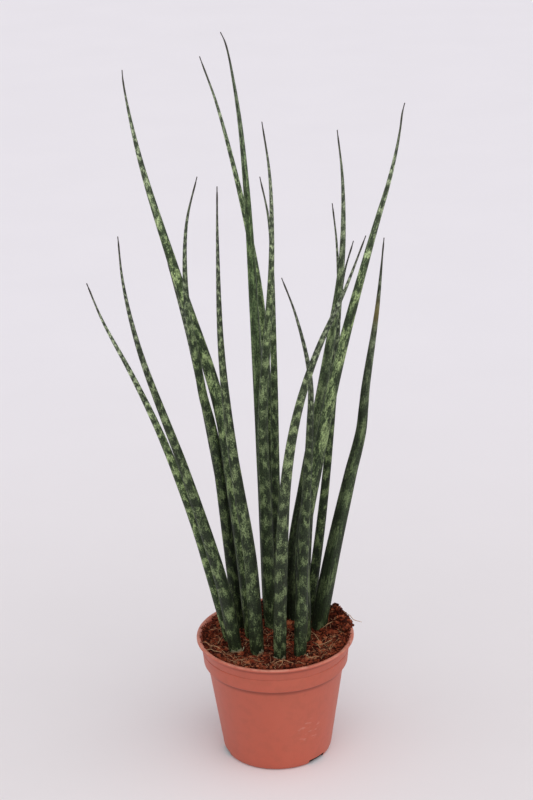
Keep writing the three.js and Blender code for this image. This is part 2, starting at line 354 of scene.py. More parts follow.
def new_group(name, inputs, result, kind):
    """A node group with named inputs and one result: what comes into it, and its end node."""
    tree = bpy.data.node_groups.new(name, "ShaderNodeTree")
    for title, (input_kind, value) in inputs.items():
        socket = tree.interface.new_socket(title, in_out="INPUT", socket_type="NodeSocket" + input_kind)
        socket.default_value = value
    tree.interface.new_socket(result, in_out="OUTPUT", socket_type="NodeSocket" + kind)
    return tree.nodes.new("NodeGroupInput").outputs, tree.nodes.new("NodeGroupOutput")


def use_group(tree, name, inputs):
    """Places a node group in a tree, feeds its inputs and returns its result."""
    return feed(add_node(tree, "Group", node_tree=bpy.data.node_groups[name]), inputs).outputs[0]


def make_streaks_group():
    """Noise in a place whose first two numbers go around a piece and whose third goes along it."""
    inputs = {
        "Place": ("Vector", (0, 0, 0)), "Around": ("Float", 1.0), "Along": ("Float", 1.0),
        "Detail": ("Float", 2.0),
    }
    given, end = new_group("Streaks", inputs, "Value", "Float")
    around = given["Around"]
    stretch = follow("CombineXYZ", {"X": around, "Y": around, "Z": given["Along"]})[0]
    place = follow("VectorMath", {0: given["Place"], 1: stretch}, operation="MULTIPLY")[0]
    feed(end, {"Value": cloud(place, 1.0, given["Detail"])})


def make_drift_group():
    """Slow changes of lightness over a surface."""
    grey = (0.5, 0.5, 0.5, 1.0)
    inputs = {"Colour": ("Color", grey), "Scale": ("Float", 20.0), "Amount": ("Float", 0.1)}
    given, end = new_group("Tone Drift", inputs, "Colour", "Color")
    drift = plus(cloud(object_place(end.id_data), given["Scale"], 3.0), -0.5)
    value = plus(times(drift, 4.0, given["Amount"]), 1.0)
    feed(end, {"Colour": follow("HueSaturation", {"Value": value, "Color": given["Colour"]})["Color"]})


def streaks(place, around, along, detail):
    inputs = {"Place": place, "Around": around, "Along": along, "Detail": detail}
    return use_group(place.id_data, "Streaks", inputs)


def drifted(tree, colour, scale, amount):
    return use_group(tree, "Tone Drift", {"Colour": colour, "Scale": scale, "Amount": amount})


def new_material(name, plain_colour):
    """A material with a Principled shader, and the colour that it has in a plain view."""
    material = bpy.data.materials.new(name)
    material.use_nodes = True
    material.diffuse_color = (*plain_colour, 1.0)
    return material, material.node_tree, material.node_tree.nodes["Principled BSDF"]


# Shapes

def wrapped(angle):
    """An angle brought into the half turn on either side of zero."""
    return atan2(sin(angle), cos(angle))


def ease(value, low, high):
    """A smooth step from 0 at the low limit to 1 at the high one."""
    share = min(max((value - low) / (high - low), 0.0), 1.0)
    return share * share * (3 - 2 * share)


def bell(distance, width):
    """1 in the middle, and less and less beyond the width."""
    return exp(-((distance / width) ** 2))


def as_mesh(name, body):
    """Turns a bmesh into a mesh and frees it."""
    mesh = bpy.data.meshes.new(name)
    body.to_mesh(mesh)
    body.free()
    return mesh


def add_object(name, data):
    made = bpy.data.objects.new(name, data)
    bpy.context.scene.collection.objects.link(made)
    return made


def finish_piece(name, body, material, slot, sharp_degrees, *nodes):
    """Makes a piece of a bmesh: it rides on the plant, and stands for the nodes that are named."""
    mesh = as_mesh(name, body)
    mesh.shade_smooth()
    mesh.set_sharp_from_angle(angle=radians(sharp_degrees))
    mesh.materials.append(material)
    piece = add_object(name, mesh)
    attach(piece, "root")
    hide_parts(*nodes)
    return piece


def weld(body):
    bmesh.ops.remove_doubles(body, verts=body.verts, dist=WELD)


def close_skin(body):
    """Welds the doubled corners of a closed skin and turns its faces outwards."""
    weld(body)
    bmesh.ops.recalc_face_normals(body, faces=body.faces)


def spin_profile(body, steps):
    """Turns the wire in a bmesh a full turn about the Z axis into a closed skin that faces outwards."""
    bmesh.ops.spin(
        body, geom=body.verts[:] + body.edges[:], cent=(0, 0, 0), axis=(0, 0, 1),
        angle=FULL_TURN, steps=steps, use_merge=True, use_duplicate=False,
    )
    close_skin(body)


def wire(body, places):
    """Joins places one after the other with edges and returns their corners."""
    corners = [body.verts.new(place) for place in places]
    for pair in zip(corners, corners[1:]):
        body.edges.new(pair)
    return corners


def straight_blank(rings, sides):
    """A straight closed tube of radius 1, with a ring at each whole height, as a mesh."""
    body = bmesh.new()
    wire(body, [(0, 0, 0)] + [(1, 0, height) for height in range(rings)] + [(0, 0, rings - 1)])
    spin_profile(body, sides)
    return as_mesh("blank", body)


def add_copy(body, template):
    """Adds a copy of a template mesh to a bmesh and returns the copy's corners."""
    first = len(body.verts)
    body.from_mesh(template)
    body.verts.ensure_lookup_table()
    return body.verts[first:]


def heading_at(places, i):
    """The direction of a row of places at one of them."""
    return (places[min(i + 1, len(places) - 1)] - places[max(i - 1, 0)]).normalized()


# Leaves

Ring = namedtuple("Ring", "centre radius")


def packed_rings(name):
    """The centre and radius of each ring of a packed leaf, from its root end to its tip."""
    body = bmesh.new()
    body.from_mesh(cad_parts[name].data)
    weld(body)
    body.verts.index_update()
    level = [max(body.verts, key=lambda corner: corner.co.z)]
    seen = set(level)
    rings = []
    while level:
        centre = sum((corner.co for corner in level), Vector()) / len(level)
        spans = sorted((corner.co - centre).length for corner in level)
        rings.append(Ring(centre, spans[len(spans) // 2]))
        beyond = {edge.other_vert(corner) for corner in level for edge in corner.link_edges} - seen
        seen |= beyond
        level = sorted(beyond, key=lambda corner: corner.index)
    body.free()
    return rings[-2::-1]


def between(before, start, end, after, share):
    """A place or number on the smooth curve from start to end."""
    bend = 2 * before - 5 * start + 4 * end - after
    twist = 3 * start - 3 * end + after - before
    return start + 0.5 * share * (end - before + share * (bend + share * twist))


def smooth_rings(name, steps):
    """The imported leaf's rings with steps between them, and a blunt end on its spine."""
    rings = packed_rings(name)
    last = len(rings) - 1
    spine = SPINE_RADIUS * MM
    smooth = []
    for i in range(last):
        near = [rings[max(i - 1, 0)], rings[i], rings[i + 1], rings[min(i + 2, last)]]
        for step in range(steps):
            centre = between(*[ring.centre for ring in near], step / steps)
            radius = between(*[ring.radius for ring in near], step / steps)
            smooth.append(Ring(centre, max(radius, spine)))
    tip = rings[last].centre
    smooth.append(Ring(tip + (smooth[-1].centre - tip).normalized() * spine, spine))
    smooth.append(Ring(tip, 0.0))
    return smooth


def leaf_foot(name):
    """Where a leaf stands in the soil: its centre and radius at the soil's level."""
    return min(smooth_rings(name, FOOT_STEPS), key=lambda ring: abs(ring.centre.z - SOIL_LEVEL * MM))


def band_counts(rings, look, number):
    """How many bands lie below each ring of a leaf. They lie closer together where it is thinner."""
    counts = []
    count = BAND_STAGGER * number
    for i, ring in enumerate(rings):
        gap = (ring.centre - rings[max(i - 1, 0)].centre).length
        count += gap / (look.band * max(2 * ring.radius, LEAST_BAND_WIDTH * MM))
        counts.append(count)
    return counts


def leaf_section(angle, look, height_share):
    """What the leaf's radius is multiplied by at an angle from the middle of its groove."""
    turn = wrapped(angle)
    groove = GROOVE_RELIEF * bell(turn, GROOVE_WIDTH)
    ribs = RIB_RELIEF * height_share * cos(RIBS * turn)
    keel = look.keel * KEEL_RELIEF * bell(wrapped(turn - KEEL_ANGLE), KEEL_WIDTH)
    return 1 - groove + ribs + keel


def leaf_tone(angle, height, look):
    """How light the leaf is at a height and at an angle from the middle of its groove, with painted shade
    beside the keel, on the right side and low down.
    """
    turn = wrapped(angle)
    line = look.line * bell(turn, GROOVE_LINE_WIDTH)
    # Painted shade beside the keel
    shade = look.keel * ease(-turn, *KEEL_PAINTED_SHADE)
    # Darker low down: partly the leaf's darker green, partly painted shade among the leaves
    low = look.low * (1 - ease(height, *DARK_AND_SHADED_BELOW))
    # Painted shade on the right side
    side = look.side * ease(cos(angle + radians(look.groove)), *SIDE_PAINTED_SHADE)
    return look.tone - line - shade - low - side


def build_leaf(name, number, blank, steps, material):
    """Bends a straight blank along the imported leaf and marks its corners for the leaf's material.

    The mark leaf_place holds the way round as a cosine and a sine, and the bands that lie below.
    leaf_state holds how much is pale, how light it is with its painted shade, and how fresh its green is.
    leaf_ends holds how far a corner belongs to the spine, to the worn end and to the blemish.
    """
    look = LOOKS[name]
    groove = radians(look.groove)
    rings = smooth_rings(name, steps)
    centres = [ring.centre for ring in rings]
    bands = band_counts(rings, look, number)
    last = len(rings) - 1
    body = bmesh.new()
    place_mark = body.verts.layers.float_vector.new("leaf_place")
    state_mark = body.verts.layers.float_vector.new("leaf_state")
    ends_mark = body.verts.layers.float_vector.new("leaf_ends")
    for corner in add_copy(body, blank):
        i = min(round(corner.co.z), last)
        centre = centres[i]
        height = centre.z / MM
        forward = heading_at(centres, i)
        across = (Vector((1, 0, 0)) - forward * forward.x).normalized()
        aside = forward.cross(across)
        bearing = atan2(corner.co.y, corner.co.x)
        angle = bearing - groove
        radius = 0.0
        if hypot(corner.co.x, corner.co.y) > 0.5:
            wander = SKIN_WANDER * noise.noise(Vector((corner.co.x, corner.co.y, bands[i] * 0.8)))
            radius = rings[i].radius * leaf_section(angle, look, i / last) * (1 + wander)
        from_tip = (centres[last] - centre).length / MM
        blemish = bell(height - BLEMISH_HEIGHT, BLEMISH_REACH) if name == BLEMISHED_LEAF else 0.0
        spine = 1 - ease(from_tip, 0, SPINE_LENGTH)
        worn = 1 - ease(from_tip, SPINE_LENGTH, 4 * SPINE_LENGTH)
        corner[place_mark] = (cos(angle), sin(angle), bands[i])
        corner[state_mark] = (look.patches, leaf_tone(angle, height, look), look.fresh)
        corner[ends_mark] = (spine, worn, blemish)
        corner.co = centre + (across * cos(bearing) + aside * sin(bearing)) * radius
    close_skin(body)
    finish_piece(name + "_skin", body, material, "leaf", NONE_SHARP, name)


def specks(place, scale, size, share):
    """Small round specks, each in its own cell, on a share of the cells."""
    cell = follow("TexVoronoi", {"Vector": place, "Scale": scale})
    pick = follow("SeparateColor", {0: cell["Color"]})[0]
    near = maths("LESS_THAN", cell["Distance"], size)
    return times(near, maths("LESS_THAN", pick, share))


def leaf_material(sizes):
    """Waxy skin with pale cross-bands, torn and dotted lengthwise, darker low down, partly by painted shade,
    a painted highlight on the groove's edge, and a brown spine.
    """
    material, tree, shader = new_material("leaf_skin", sizes.dark)
    place = attribute(tree, "leaf_place", "Vector")
    spot = object_place(tree)
    way_x, way_y, band = split(place)
    share, tone, fresh = split(attribute(tree, "leaf_state", "Vector"))
    spine, worn, blemish = split(attribute(tree, "leaf_ends", "Vector"))
    height = split(spot)["Z"]

    # Where the skin is pale and where it is deepest
    warp = times(streaks(place, 0.8, 0.7, 1.0), 1.6)
    wave = times(maths("SINE", times(plus(band, warp), FULL_TURN)), 0.13)
    broad = streaks(place, 0.8, 1.7, 1.0)
    ragged = plus(streaks(place, 2.6, 5.0, 2.0), -0.5)
    fine = times(plus(streaks(place, 5.0, 12.0, 3.0), -0.5), 1.1)
    field = plus(broad, wave, times(ragged, 0.45), fine, times(way_x, 0.03))
    pale_mask = times(ramp(field, 0.46, 0.84), share)
    deep_mask = times(ramp(field, 0.52, 0.3), 0.8)

    # The two greens and their mix
    # Deeper green low down: partly the leaf's own green, partly painted shade among the leaves
    up = ramp(height, 0.12, 0.34)
    freshness = times(fresh, 0.6)
    dark = blend(freshness, blend(up, sizes.deep, sizes.dark), sizes.fresh)
    dark = blend(deep_mask, dark, sizes.deep)
    pale = blend(freshness, blend(up, sizes.pale_low, sizes.pale), sizes.lime)
    skin = blend(pale_mask, dark, pale)

    # Lengthwise lines, dots and creases, and the tone of each leaf
    lines = streaks(place, 12.0, 0.35, 2.0)
    dots = streaks(spot, 1100.0, 800.0, 2.0)
    grain = times(ramp(lines, 0.35, 0.65, 0.86, 1.1), ramp(dots, 0.36, 0.6, 0.55, 1.26))
    creases = ramp(streaks(place, 4.2, 0.16, 2.0), 0.4, 0.6, -1.0, 1.0)
    creased = plus(times(creases, ramp(share, 0.2, 0.6, 0.42, 0.0)), 1.0)
    lightness = plus(times(tone, 0.6), 1.0)
    # Lighter high up, partly painted light; the tone holds the painted shades
    lightness = times(lightness, times(creased, grain), ramp(height, 0.28, 0.46, 1.0, 1.45))
    faded = plus(times(worn, -0.35), 1.0)
    adjusted = {"Value": lightness, "Saturation": faded, "Color": skin}
    skin = follow("HueSaturation", adjusted)["Color"]

    # The painted highlight on the groove's edge, specks, the blemish and the spine
    # A painted highlight along one edge of the groove
    edge = maths("ABSOLUTE", plus(maths("ARCTAN2", way_y, way_x), -EDGE_HIGHLIGHT_ANGLE))
    edge = times(ramp(edge, 0.0, 0.09, 0.5, 0.0), ramp(broad, 0.44, 0.56))
    skin = blend(edge, skin, sizes.pale_low)
    skin = blend(times(specks(spot, 420.0, 0.13, 0.25), 0.25), skin, SPECK_COLOUR)
    skin = blend(times(blemish, 0.6), skin, BLEMISH_COLOUR)
    skin = blend(spine, skin, SPINE_COLOUR)
    relief = plus(lines, times(ragged, 0.4))
    feed(shader, {
        "Base Color": drifted(tree, skin, 25.0, 0.08),
        "Roughness": ramp(lines, 0.3, 0.7, 0.5, 0.64),
        "Normal": bump(relief, 0.0004, 0.5),
        "Specular IOR Level": 0.25,
    })
    return material


# Pot

def pot_profile(sizes):
    """The pot's profile as [radius, height, rounding] in millimetres, from the axis out and back."""
    wall = sizes.wall / MM
    slope = (COLLAR_TOP_RADIUS - COLLAR_FOOT_RADIUS) / (LIP_FOOT - COLLAR_FOOT_HEIGHT)
    groove = COLLAR_FOOT_RADIUS + slope * (COLLAR_GROOVE_HEIGHT - COLLAR_FOOT_HEIGHT)
    return [
        [0, 0, 0],
        [FLAT_MIDDLE_RADIUS, 0, FINE_EDGE],
        [FLAT_MIDDLE_RADIUS + CHANNEL_SLOPE, CHANNEL_DEPTH, FINE_EDGE],
        [FOOT_RING_INNER_RADIUS - CHANNEL_SLOPE, CHANNEL_DEPTH, FINE_EDGE],
        [FOOT_RING_INNER_RADIUS, 0, FINE_EDGE],
        [BASE_RADIUS, 0, SOFT_EDGE],
        [BASE_RADIUS + BASE_EDGE_OUT, BASE_EDGE_UP, SOFT_EDGE],
        [BODY_FOOT_RADIUS, BODY_FOOT_HEIGHT, FOOT_EDGE],
        [BODY_TOP_RADIUS, BODY_TOP_HEIGHT, SOFT_EDGE],
        [COLLAR_FOOT_RADIUS, COLLAR_FOOT_HEIGHT, SOFT_EDGE],
        [groove + GROOVE_LOWER_OUT, COLLAR_GROOVE_HEIGHT - COLLAR_GROOVE_HALF_WIDTH, 0],
        [groove - sizes.groove_depth / MM, COLLAR_GROOVE_HEIGHT, 0],
        [groove + GROOVE_UPPER_OUT, COLLAR_GROOVE_HEIGHT + COLLAR_GROOVE_HALF_WIDTH, 0],
        [COLLAR_TOP_RADIUS, LIP_FOOT, FINE_EDGE],
        [LIP_RADIUS, LIP_FOOT, SOFT_EDGE],
        [LIP_RADIUS, LIP_TOP, LIP_EDGE],
        [LIP_RADIUS - LIP_THICKNESS, LIP_TOP, LIP_EDGE],
        [COLLAR_TOP_RADIUS - wall, LIP_FOOT - LIP_INSIDE_DROP, FINE_EDGE],
        [COLLAR_FOOT_RADIUS - wall, COLLAR_FOOT_HEIGHT + SHOULDER_DROP, SOFT_EDGE],
        [BODY_TOP_RADIUS - wall, BODY_TOP_HEIGHT - SHOULDER_DROP, SOFT_EDGE],
        [BODY_FOOT_RADIUS - wall, BODY_FOOT_HEIGHT + FLOOR_CORNER_RISE, SOFT_EDGE],
        [BASE_RADIUS - wall, FLOOR_THICKNESS, SOFT_EDGE],
        [0, FLOOR_THICKNESS, 0],
    ]


def carve(piece, cutter_body):
    """Cuts the shapes in a bmesh out of a piece."""
    cutter = add_object("cutter", as_mesh("cutter", cutter_body))
    cut = piece.modifiers.new("Drainage", "BOOLEAN")
    cut.operation = "DIFFERENCE"
    cut.solver = "EXACT"
    cut.object = cutter
    seen = piece.evaluated_get(bpy.context.evaluated_depsgraph_get())
    carved = bpy.data.meshes.new_from_object(seen)
    body = bmesh.new()
    body.from_mesh(carved)
    weld(body)
    body.to_mesh(carved)
    body.free()
    piece.modifiers.clear()
    piece.data = carved
    bpy.data.objects.remove(cutter)


def notch_turn(number):
    return Matrix.Rotation(radians(NOTCH_FIRST_ANGLE) + FULL_TURN * number / NOTCHES, 4, "Z")


def drainage_shapes():
    """The round holes in the pot's floor and the notches in its foot."""
    body = bmesh.new()
    out = Matrix.Translation((DRAIN_HOLE_CIRCLE * MM, 0, 0))
    radius = DRAIN_HOLE_RADIUS * MM
    for i in range(DRAIN_HOLES):
        bmesh.ops.create_cone(
            body, cap_ends=True, segments=DRAIN_HOLE_SIDES, radius1=radius, radius2=radius,
            depth=4 * FLOOR_THICKNESS * MM, matrix=Matrix.Rotation(FULL_TURN * i / DRAIN_HOLES, 4, "Z") @ out,
        )
    out = Matrix.Translation(((NOTCH_BACK_RADIUS + NOTCH_CUT_LENGTH / 2) * MM, 0, 0))
    size = Matrix.Diagonal((NOTCH_CUT_LENGTH * MM, NOTCH_WIDTH * MM, 2 * NOTCH_HEIGHT * MM, 1))
    for i in range(NOTCHES):
        bmesh.ops.create_cube(body, size=1, matrix=notch_turn(i) @ out @ size)
    return body


def mark_notches(mesh):
    """Marks the faces inside the drain notches, where a painted shade darkens the recess."""
    mark = mesh.attributes.new("notch_shade", "FLOAT", "FACE")
    for i in range(NOTCHES):
        back = notch_turn(i).inverted()
        for face in mesh.polygons:
            place = back @ face.center / MM
            beside = abs(place.y) < NOTCH_WIDTH / 2 + NOTCH_MARGIN
            below = place.z < NOTCH_HEIGHT + NOTCH_MARGIN
            if beside and below and place.x > NOTCH_BACK_RADIUS - NOTCH_MARGIN:
                mark.data[face.index].value = 1.0


def build_pot(sizes, material):
    """The pot, turned from its profile with rounded edges, with its drain holes and notches."""
    body = bmesh.new()
    profile = pot_profile(sizes)
    corners = wire(body, [(radius * MM, 0, height * MM) for radius, height, rounding in profile])
    for rounding in (FINE_EDGE, SOFT_EDGE, LIP_EDGE, FOOT_EDGE):
        chosen = [corner for corner, point in zip(corners, profile) if point[2] == rounding]
        bmesh.ops.bevel(
            body, geom=chosen, offset=rounding * MM, segments=EDGE_STEPS, profile=0.5,
            affect="VERTICES", material=-1,
        )
    spin_profile(body, sizes.sides)
    pot = finish_piece("moulded_pot", body, material, "pot_plastic", POT_SHARP, "pot")
    carve(pot, drainage_shapes())
    pot.data.set_sharp_from_angle(angle=radians(POT_SHARP))
    mark_notches(pot.data)


def pot_material(sizes):
    """Satin moulded plastic with a soft tone drift, pale scuffs, dust, a paler lip top that is partly wear
    and partly a painted highlight, and painted shade in creases and notches.
    """
    material, tree, shader = new_material("terracotta_plastic", sizes.plastic)
    place = object_place(tree)
    height = split(place)["Z"]
    flow = streaks(place, 55.0, 7.0, 3.0)
    skin = drifted(tree, sizes.plastic, 18.0, 0.04)
    skin = blend(ramp(flow, 0.4, 0.65, 0.0, 0.12), skin, sizes.faded)

    scuffs = streaks(place, 160.0, 420.0, 4.0)
    away = follow("VectorMath", {0: place, 1: SCUFFED_PLACE}, operation="DISTANCE")["Value"]
    near = ramp(away, 0.022, 0.004, 0.3, 1.3)
    where = times(streaks(place, 24.0, 30.0, 1.0), near)
    scuffed = times(ramp(scuffs, 0.54, 0.7), ramp(where, 0.45, 0.62, 0.0, 0.26))
    skin = blend(scuffed, skin, SCUFF_COLOUR)
    # The lip's top is paler all round: partly wear, partly a painted highlight
    worn = times(ramp(height, 0.0945, 0.096), ramp(scuffs, 0.35, 0.6, 0.15, 0.5))
    skin = blend(worn, skin, LIP_WEAR_AND_HIGHLIGHT_COLOUR)

    # Dust lies in patches, more of it on what faces up
    facing = split(add_node(tree, "NewGeometry").outputs["Normal"])["Z"]
    patches = ramp(cloud(place, 150.0, 5.0), 0.42, 0.72)
    dust = times(patches, ramp(facing, -0.3, 1.0, 0.35, 1.0), 0.3)
    skin = blend(dust, skin, DUST_COLOUR)
    # Painted shade under the lip, under the collar and in the collar's line
    for shaded_crease, reach, depth in SHADED_CREASES:
        near = maths("ABSOLUTE", plus(height, -shaded_crease))
        skin = blend(ramp(near, 0.0, reach, depth, 0.0), skin, CREASE_SHADE_COLOUR)
    # Painted shade inside the drain notches
    skin = blend(attribute(tree, "notch_shade", "Fac"), skin, NOTCH_SHADE_COLOUR)

    relief = plus(cloud(place, 900.0, 2.0), times(flow, 1.5))
    feed(shader, {
        "Base Color": skin,
        "Roughness": plus(ramp(flow, 0.3, 0.7, 0.42, 0.52), times(scuffed, 0.3)),
        "Normal": bump(relief, 0.0003, 0.25),
        "Specular IOR Level": 0.5,
    })
    return material


# Soil

def rise(x, y, place):
    return place.height * bell(hypot(x - place.x, y - place.y), place.spread)


def bed_height(x, y):
    """The height of the soil at a place, in millimetres: the packed soil's shape and finer lumps."""
    bank = BANK_HEIGHT * ease(hypot(x, y), *BANK_REACH)
    waves = (
        0.8 * sin(x * 0.31 + y * 0.17 + 1.3)
        + 0.6 * sin(y * 0.43 - x * 0.21 + 0.4)
        + 0.4 * sin(x * 0.71 + 2.1) * sin(y * 0.66 + 0.7)
    )
    lumps = 0.7 * noise.fractal(Vector((x * 0.22, y * 0.22, 4.0)), 0.8, 2.0, 3)
    return SOIL_LEVEL + waves + bank + rise(x, y, HEAP) + rise(x, y, FRONT_RISE) + lumps


def soil_inset():
    return bpy.context.scene.plant_pot.wall / MM + SOIL_CLEARANCE


def soil_top_radius():
    return COLLAR_TOP_RADIUS - soil_inset() - SOIL_DRAFT


def build_bed(sizes, material):
    """The soil itself, turned to fit the pot, its top raised into waves, lumps and a heap."""
    inset = soil_inset()
    rings = sizes.bed_rings
    profile = [
        [0, FLOOR_THICKNESS + SOIL_CLEARANCE],
        [BASE_RADIUS - inset, FLOOR_THICKNESS + SOIL_CLEARANCE],
        [BODY_FOOT_RADIUS - inset, BODY_FOOT_HEIGHT + FLOOR_CORNER_RISE + SOIL_CLEARANCE],
        [BODY_TOP_RADIUS - inset, BODY_TOP_HEIGHT - SHOULDER_DROP],
        [COLLAR_FOOT_RADIUS - inset, COLLAR_FOOT_HEIGHT + SHOULDER_DROP],
    ] + [[soil_top_radius() * i / rings, SOIL_LEVEL] for i in range(rings, -1, -1)]
    body = bmesh.new()
    wire(body, [(radius * MM, 0, height * MM) for radius, height in profile])
    spin_profile(body, sizes.bed_sides)
    for corner in body.verts:
        if corner.co.z > (SOIL_LEVEL - 1) * MM:
            corner.co.z = bed_height(corner.co.x / MM, corner.co.y / MM) * MM
    finish_piece("soil_bed", body, material, "soil", BED_SHARP, "soil")


def crumb_templates(draw, count, subdivisions, unevenness):
    """Lumps of coir one unit across, knocked out of round."""
    templates = []
    for i in range(count):
        body = bmesh.new()
        bmesh.ops.create_icosphere(body, subdivisions=subdivisions, radius=0.5)
        for corner in body.verts:
            corner.co *= 1 + unevenness * draw.uniform(-1, 1)
        templates.append(as_mesh("crumb", body))
    return templates


def soil_spot(draw, reach):
    """A place on the soil, evenly drawn over the round of a given radius in millimetres."""
    radius = reach * sqrt(draw.random())
    angle = draw.uniform(0, FULL_TURN)
    return radius * cos(angle), radius * sin(angle)


def clear_of_leaves(x, y, feet, margin):
    """True where a place is outside every leaf's foot, in millimetres."""
    return all(
        hypot(x - foot.centre.x / MM, y - foot.centre.y / MM) >= foot.radius / MM + margin for foot in feet
    )


def tinted_body():
    """A bmesh whose corners carry a tint."""
    body = bmesh.new()
    body.verts.layers.float.new("tint")
    return body


def tumbled(draw, place, size, stretch, tilt):
    """Where a crumb lies: turned any way about the upright, tilted a little, and scaled."""
    spin = Matrix.Rotation(draw.uniform(0, FULL_TURN), 4, "Z")
    lean = Matrix.Rotation(draw.uniform(-tilt, tilt), 4, "X")
    scale = Matrix.Diagonal((size * stretch[0] * MM, size * stretch[1] * MM, size * stretch[2] * MM, 1))
    return Matrix.Translation(Vector(place) * MM) @ spin @ lean @ scale


def strew(body, template, matrix, tint):
    """Adds one crumb where the matrix puts it and gives it its tint."""
    mark = body.verts.layers.float["tint"]
    for corner in add_copy(body, template):
        corner.co = matrix @ corner.co
        corner[mark] = tint


def lay_crumb(draw, body, lumps, place, size, longest, palest):
    """Adds one crumb at a place in millimetres, drawing its stretch, its turn, its lump and its tint."""
    stretch = (draw.uniform(0.8, longest), draw.uniform(0.7, 1.1), draw.uniform(0.5, 0.9))
    matrix = tumbled(draw, place, size, stretch, CRUMB_TILT)
    strew(body, draw.choice(lumps), matrix, palest * draw.random() ** PALE_RARITY)


def rim_crumbs(draw, body, lumps, count):
    """Small crumbs on the slope between the soil and the lip, all the way round."""
    for i in range(count):
        angle = draw.uniform(0, FULL_TURN)
        out = draw.random()
        radius = RIM_FROM + out * (RIM_TO - RIM_FROM)
        size = draw.choice(RIM_CRUMB_SIZES)
        z = SOIL_LEVEL + BANK_HEIGHT + RIM_RISE * out + 0.1 * size
        place = (radius * cos(angle), radius * sin(angle), z)
        lay_crumb(draw, body, lumps, place, size, 1.5, 0.7)


def build_crumbs(sizes, material):
    """Loose crumbs of coir on the soil, and the larger chips among them."""
    draw = random.Random(11)
    feet = [leaf_foot(name) for name in LOOKS]
    lumps = crumb_templates(draw, LUMPS, 1, LUMP_UNEVENNESS)
    body = tinted_body()
    made = 0
    while made < sizes.crumbs:
        x, y = soil_spot(draw, soil_top_radius() - 0.3)
        size = draw.choice(BED_CRUMB_SIZES)
        if clear_of_leaves(x, y, feet, 0.2 * size):
            made += 1
            lay_crumb(draw, body, lumps, (x, y, bed_height(x, y) + 0.16 * size), size, 1.7, 0.9)
    rim_crumbs(draw, body, lumps, sizes.rim_crumbs)
    chips = crumb_templates(draw, 3, 2, CHIP_UNEVENNESS)
    for x, y, size, tint in CHIPS:
        matrix = tumbled(draw, (x, y, bed_height(x, y) + 0.2 * size), size, CHIP_STRETCH, CHIP_TILT)
        strew(body, draw.choice(chips), matrix, tint)
    finish_piece("soil_crumbs", body, material, "soil", LUMP_SHARP)


def build_spill(sizes, material):
    """Crumbs from the heap that lie between the soil and the wall and over the lip."""
    draw = random.Random(37)
    lumps = crumb_templates(draw, LUMPS, 1, LUMP_UNEVENNESS)
    body = tinted_body()
    for i in range(sizes.spilled):
        angle = draw.uniform(SPILL_FROM, SPILL_TO)
        ends = min(ease(angle, SPILL_FROM, SPILL_FROM + 9), 1 - ease(angle, SPILL_TO - 14, SPILL_TO))
        reach = SPILL_INNER + ends * (SPILL_OUTER - SPILL_INNER)
        radius = draw.uniform(SPILL_INNER - 1, reach)
        x = radius * cos(radians(angle))
        y = radius * sin(radians(angle))
        size = draw.choice(SPILLED_SIZES)
        edge = ease(radius, SPILL_INNER, SPILL_OUTER)
        heaped = max(bed_height(x, y) + 0.8 - LIP_TOP, 0.4) * (1 - edge) ** 0.5
        z = LIP_TOP + 0.3 * size + draw.random() ** 0.8 * heaped
        lay_crumb(draw, body, lumps, (x, y, z), size, 1.6, 0.8)
    finish_piece("spilled_crumbs", body, material, "soil", LUMP_SHARP)


def fibre_places(draw, count, x, y, heading, length, lift):
    """The places along a fibre that wanders over the soil, which starts and lifts in millimetres."""
    places = []
    curl = draw.uniform(-0.07, 0.07)
    step = length / (count - 1)
    for i in range(count):
        ground = bed_height(x, y)
        if hypot(x, y) > SPILL_INNER:
            ground = max(ground, LIP_TOP)
        height = ground + 0.4 + lift * sin(pi * i / (count - 1)) + 0.3 * draw.random()
        places.append(Vector((x, y, height)) * MM)
        heading += curl + draw.uniform(-0.12, 0.12)
        x += step * cos(heading)
        y += step * sin(heading)
    return places


def add_fibre(body, blank, places, radius, tint):
    """Bends a thin blank along a fibre's places, finer towards its ends."""
    mark = body.verts.layers.float["tint"]
    last = len(places) - 1
    for corner in add_copy(body, blank):
        i = min(round(corner.co.z), last)
        forward = heading_at(places, i)
        across = forward.orthogonal().normalized()
        aside = forward.cross(across)
        width = radius * (0.35 + 0.65 * sin(pi * (0.1 + 0.8 * i / last)))
        corner.co = places[i] + (across * corner.co.x + aside * corner.co.y) * width
        corner[mark] = tint


def build_fibres(sizes, material):
    """Coir fibres strewn over the soil, and the few long ones that catch the light."""
    draw = random.Random(23)
    feet = [leaf_foot(name) for name in LOOKS]
    reach = soil_top_radius()
    blank = straight_blank(sizes.fibre_rings, FIBRE_SIDES)
    body = tinted_body()
    made = 0
    while made < sizes.fibres:
        x, y = soil_spot(draw, reach - 1)
        heading = draw.uniform(0, FULL_TURN)
        length = draw.uniform(*FIBRE_LENGTH)
        lift = draw.choice(FIBRE_LIFTS)
        places = fibre_places(draw, sizes.fibre_rings, x, y, heading, length, lift)
        inside = all(
            hypot(place.x, place.y) < (reach - 0.5) * MM
            and clear_of_leaves(place.x / MM, place.y / MM, feet, 0.2)
            for place in places
        )
        if inside:
            made += 1
            add_fibre(body, blank, places, draw.uniform(*FIBRE_RADIUS) * MM, draw.random() ** 1.4)
    for x, y, heading, length, lift, tint in STRANDS:
        places = fibre_places(draw, sizes.fibre_rings, x, y, radians(heading), length, lift)
        add_fibre(body, blank, places, STRAND_RADIUS * MM, tint)
    finish_piece("coir_fibres", body, material, "soil", NONE_SHARP)


